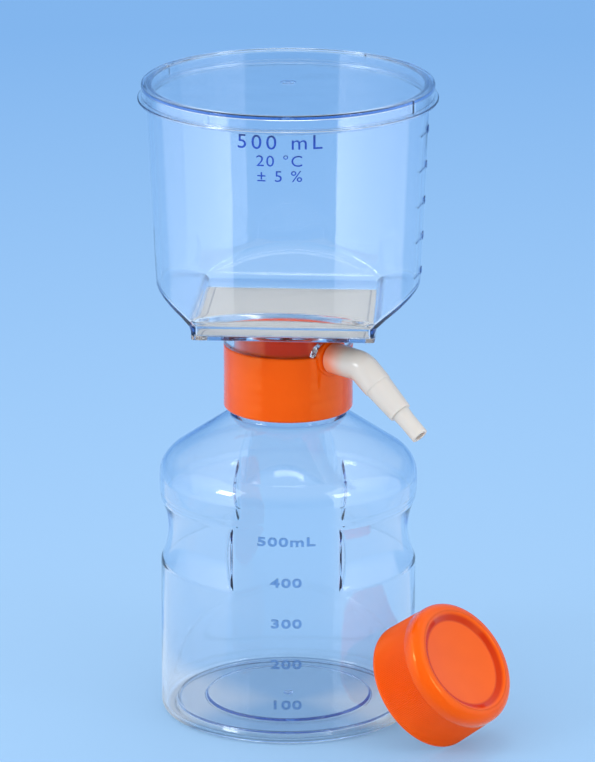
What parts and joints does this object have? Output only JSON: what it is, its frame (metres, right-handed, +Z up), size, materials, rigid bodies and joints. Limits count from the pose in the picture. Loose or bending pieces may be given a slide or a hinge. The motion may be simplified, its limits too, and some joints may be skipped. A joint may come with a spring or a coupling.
{
  "type": "vacuum filtration unit",
  "caption": "Clear funnel with lid and square membrane on an orange neck adapter with an angled hose connector, screwed on a clear receiver bottle, its screw cap leaning beside it.",
  "frame": {"origin": "on the bottle's axis, at the plane the bottle stands on", "axes": "+Z up along the bottle's axis, -Y through the funnel foot's front face, +X to the viewer's right of it"},
  "size_m": [0.1377, 0.1187, 0.2379],
  "materials": {
    "clear_bottle": "clear moulded polystyrene",
    "clear_funnel": "clear moulded polystyrene",
    "clear_plate": "clear moulded polystyrene",
    "clear_lid": "clear moulded polystyrene",
    "orange_adapter": "glossy orange",
    "orange_cap": "satin orange with fine ribs",
    "milky_connector": "translucent milky white",
    "white_membrane": "matt white sheet",
    "seal_rubber": "soft pale grey"
  },
  "bodies": {
    "bottle": {"receiver_bottle": "clear_bottle", "storage_cap": "orange_cap"},
    "seal": {"neck_gasket": "seal_rubber"},
    "filter_head": {"threaded_adapter": "orange_adapter", "support_plate": "clear_plate", "filter_membrane": "white_membrane", "funnel": "clear_funnel"},
    "lid": {"funnel_lid": "clear_lid"},
    "connector": {"hose_connector": "milky_connector"}
  },
  "joints": [
    {"name": "head_rise", "type": "slide", "parent": "bottle", "child": "seal", "axis": [0, 0, 1], "range_m": [0, 0.007]},
    {"name": "head_screw", "type": "hinge", "parent": "seal", "child": "filter_head", "pos_m": [0, 0, 0.134], "axis": [0, 0, 1], "range_deg": [0, 630]},
    {"name": "lid_lift", "type": "slide", "parent": "filter_head", "child": "lid", "axis": [0, 0, 1], "range_m": [0, 0.03]},
    {"name": "connector_swivel", "type": "hinge", "parent": "filter_head", "child": "connector", "pos_m": [0.01762, -0.01702, 0.1391], "axis": [0.7193, -0.6947, 0], "range_deg": [-100, 80]}
  ],
  "couplings": [
    {"joint": "head_rise", "follows": "head_screw", "m_per_rad": 0.00063662}
  ]
}
